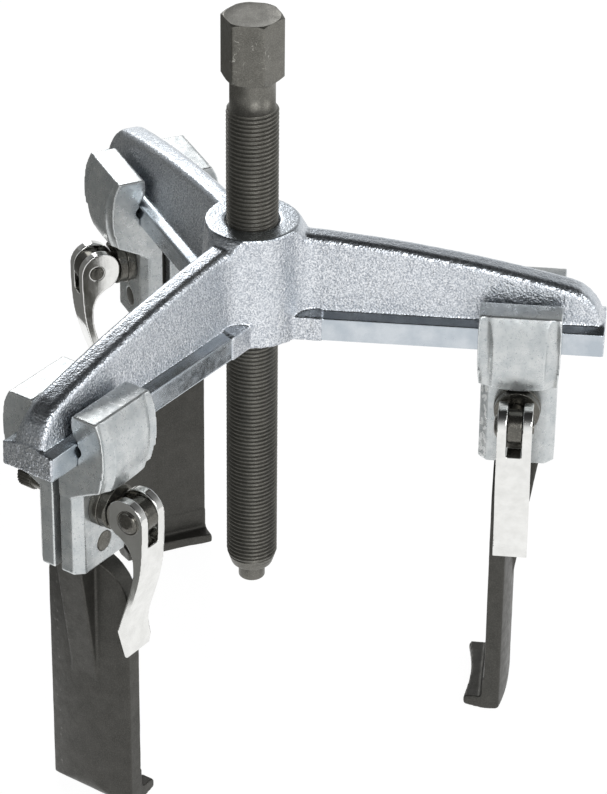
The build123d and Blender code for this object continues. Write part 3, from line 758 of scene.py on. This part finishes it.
for number in JAWS:
    at = CLAMP[number]
    bolt_axis = in_metres(at, along_y(BOLT_Z))
    dowel_axis = in_metres(at, along_y(DOWEL_Z))
    pin_axis = in_metres(at, along_x())
    jaw, clamp, lever, nut = f"jaw{number}", f"clamp{number}", f"lever{number}", f"nut{number}"
    leg_turn = Matrix.Rotation(math.radians(120 * (number - 2)), 4, "Z")
    leg_at = Matrix.Translation(at.translation) @ leg_turn @ CLAMP[2].to_3x3().to_4x4()
    add_piece(f"{jaw}_hooked_leg", placed(leg_mesh, leg_at), jaw, f"{jaw}_leg", "phosphated_leg")
    add_piece(f"{jaw}_near_half", placed(near_mesh, at), jaw, f"{jaw}_clamp_near", "zinc_clamp")
    add_piece(f"{jaw}_far_half", placed(far_mesh, at), clamp, f"{jaw}_clamp_far", "zinc_clamp")
    add_piece(f"{jaw}_lever", placed(lever_mesh, at), lever, f"{jaw}_cam_lever", "polished_lever")
    add_piece(f"{jaw}_eye_bolt", placed(bolt_mesh, at), clamp, f"{jaw}_clamp_bolt", "black_fastener")
    add_piece(f"{jaw}_dished_seat", placed(seat_mesh, at), jaw, f"{jaw}_cam_seat", "black_fastener")
    add_piece(f"{jaw}_flat_washer", placed(washer_mesh, bolt_axis), jaw, f"{jaw}_washer", "black_fastener")
    add_piece(f"{jaw}_leg_dowel", placed(dowel_mesh, dowel_axis), jaw, f"{jaw}_dowel", "black_fastener")
    knob = placed(knob_mesh, bolt_axis)
    add_piece(f"{jaw}_knurled_nut", knob, nut, f"{jaw}_adjusting_nut", "black_fastener")
    add_piece(f"{jaw}_rivet_pin", placed(pin_mesh, pin_axis), lever, f"{jaw}_lever_pin", "black_fastener")

for name in ("thrust_ball", "tip_snap_ring"):
    data = nodes[name].data
    data.materials.clear()
    data.materials.append(FINISH["bearing_steel"])


# ---------------------------------------------------------------- floor, light and camera, in metres
FLOOR_HALF = 3.0
FLOOR_GAP = 0.0002        # the floor lies this far under the claws
CARD_X = (-0.18, -0.32)   # foot and top
CARD_Y = (-0.60, 0.55)
CARD_Z = (-0.047, 0.22)


def flat_panel(name, finish_name, corners, colour, roughness):
    """A flat four-cornered panel and its shader."""
    mesh = bpy.data.meshes.new(name)
    mesh.from_pydata(corners, [], [(0, 1, 2, 3)])
    material = bpy.data.materials.new(finish_name)
    material.use_nodes = True
    shader = material.node_tree.nodes["Principled BSDF"]
    shader.inputs["Base Color"].default_value = (*colour, 1)
    shader.inputs["Roughness"].default_value = roughness
    mesh.materials.append(material)
    panel = bpy.data.objects.new(name, mesh)
    bpy.context.scene.collection.objects.link(panel)
    return panel, shader


def make_floor():
    """A plain pale floor just under the claws."""
    z = cad_box[0][2] - FLOOR_GAP
    corners = [(x * FLOOR_HALF, y * FLOOR_HALF, z) for x, y in ((-1, -1), (1, -1), (1, 1), (-1, 1))]
    floor, shader = flat_panel("floor", "floor_paint", corners, (0.15, 0.15, 0.15), 0.9)
    shader.inputs["Specular IOR Level"].default_value = 0.1
    shader.inputs["Emission Color"].default_value = (1, 1, 1, 1)
    shader.inputs["Emission Strength"].default_value = 0.95


def make_card():
    """A dark leaning card to the left, which the camera doesn't see, that shapes the metal's reflections."""
    foot, top = CARD_X
    near, far = CARD_Y
    low, high = CARD_Z
    corners = [(foot, near, low), (foot, far, low), (top, far, high), (top, near, high)]
    card = flat_panel("card", "card_felt", corners, (0.22, 0.22, 0.21), 0.95)[0]
    card.visible_camera = False
    card.visible_shadow = False


def make_world():
    """A white studio tent: bright in front and behind, dim to the left and overhead."""
    world = bpy.data.worlds.new("studio")
    bpy.context.scene.world = world
    world.use_nodes = True
    tree = world.node_tree
    background = tree.nodes["Background"]
    place = tree.nodes.new("ShaderNodeTexCoord")
    split = tree.nodes.new("ShaderNodeSeparateXYZ")
    ramp = tree.nodes.new("ShaderNodeValToRGB")
    tree.links.new(place.outputs["Generated"], split.inputs[0])
    tree.links.new(split.outputs["Z"], ramp.inputs["Fac"])
    stops = ((0.0, 1.0), (0.30, 0.85), (0.52, 0.45), (0.68, 0.24), (0.85, 0.10), (1.0, 0.07))
    elements = ramp.color_ramp.elements
    while len(elements) < len(stops):
        elements.new(0.5)
    for element, (position, value) in zip(elements, stops):
        element.position = position
        element.color = (value * 0.985, value * 0.995, value, 1)

    def math_node(operation, a, b):
        node = tree.nodes.new("ShaderNodeMath")
        node.operation = operation
        for value, socket in ((a, node.inputs[0]), (b, node.inputs[1])):
            if isinstance(value, float):
                socket.default_value = value
            else:
                tree.links.new(value, socket)
        return node.outputs[0]

    depth = math_node("MULTIPLY", split.outputs["Y"], split.outputs["Y"])
    walls = math_node("ADD", math_node("MULTIPLY", split.outputs["X"], 0.20), 0.40)
    around = math_node("MINIMUM", math_node("ADD", walls, math_node("MULTIPLY", depth, 0.75)), 1.0)
    tint = tree.nodes.new("ShaderNodeMix")
    tint.data_type = "RGBA"
    tint.blend_type = "MULTIPLY"
    tint.inputs[0].default_value = 1.0
    tree.links.new(ramp.outputs["Color"], tint.inputs[6])
    tree.links.new(around, tint.inputs[7])
    tree.links.new(tint.outputs[2], background.inputs["Color"])
    background.inputs["Strength"].default_value = 1.0


def area_light(name, location, size, power):
    """A square softbox aimed at the object; the camera doesn't see it."""
    light = bpy.data.lights.new(name, "AREA")
    light.size = size
    light.energy = power
    lamp = bpy.data.objects.new(name, light)
    bpy.context.scene.collection.objects.link(lamp)
    lamp.location = location
    aim = Vector(LIGHT_TARGET) - Vector(location)
    lamp.rotation_euler = aim.to_track_quat("-Z", "Y").to_euler()
    lamp.visible_camera = False


CAMERA_TURN = math.radians(5.679)
CAMERA_PITCH = math.radians(31.509)
CAMERA_ROLL = math.radians(0.588)
CAMERA_PLACE = (0.14730, -1.26926, 0.87055)
LENS = 166.70             # in mm, on a sensor 36 mm wide
LIGHT_TARGET = (0, 0, 0.05)


def make_camera():
    """The camera at the object's usual three-quarter view from above."""
    right = Vector((math.cos(CAMERA_TURN), math.sin(CAMERA_TURN), 0))
    forward = Vector((-math.sin(CAMERA_TURN) * math.cos(CAMERA_PITCH),
                      math.cos(CAMERA_TURN) * math.cos(CAMERA_PITCH), -math.sin(CAMERA_PITCH)))
    up = right.cross(forward)
    x = right * math.cos(CAMERA_ROLL) + up * math.sin(CAMERA_ROLL)
    y = up * math.cos(CAMERA_ROLL) - right * math.sin(CAMERA_ROLL)
    data = bpy.data.cameras.new("camera")
    data.lens = LENS
    data.sensor_width = 36.0
    data.clip_start = 0.05
    data.clip_end = 50.0
    camera = bpy.data.objects.new("camera", data)
    bpy.context.scene.collection.objects.link(camera)
    axes = Matrix((x, y, -forward)).transposed().to_4x4()
    camera.matrix_world = Matrix.Translation(CAMERA_PLACE) @ axes
    bpy.context.scene.camera = camera


make_floor()
make_card()
make_world()
area_light("key", (0.5, -1.3, 1.0), 0.6, 6.0)
area_light("fill", (1.3, -0.2, 0.8), 0.7, 3.5)
area_light("rim", (-0.5, 1.3, 0.9), 0.6, 4.5)
make_camera()
bpy.context.scene.view_settings.view_transform = "Standard"
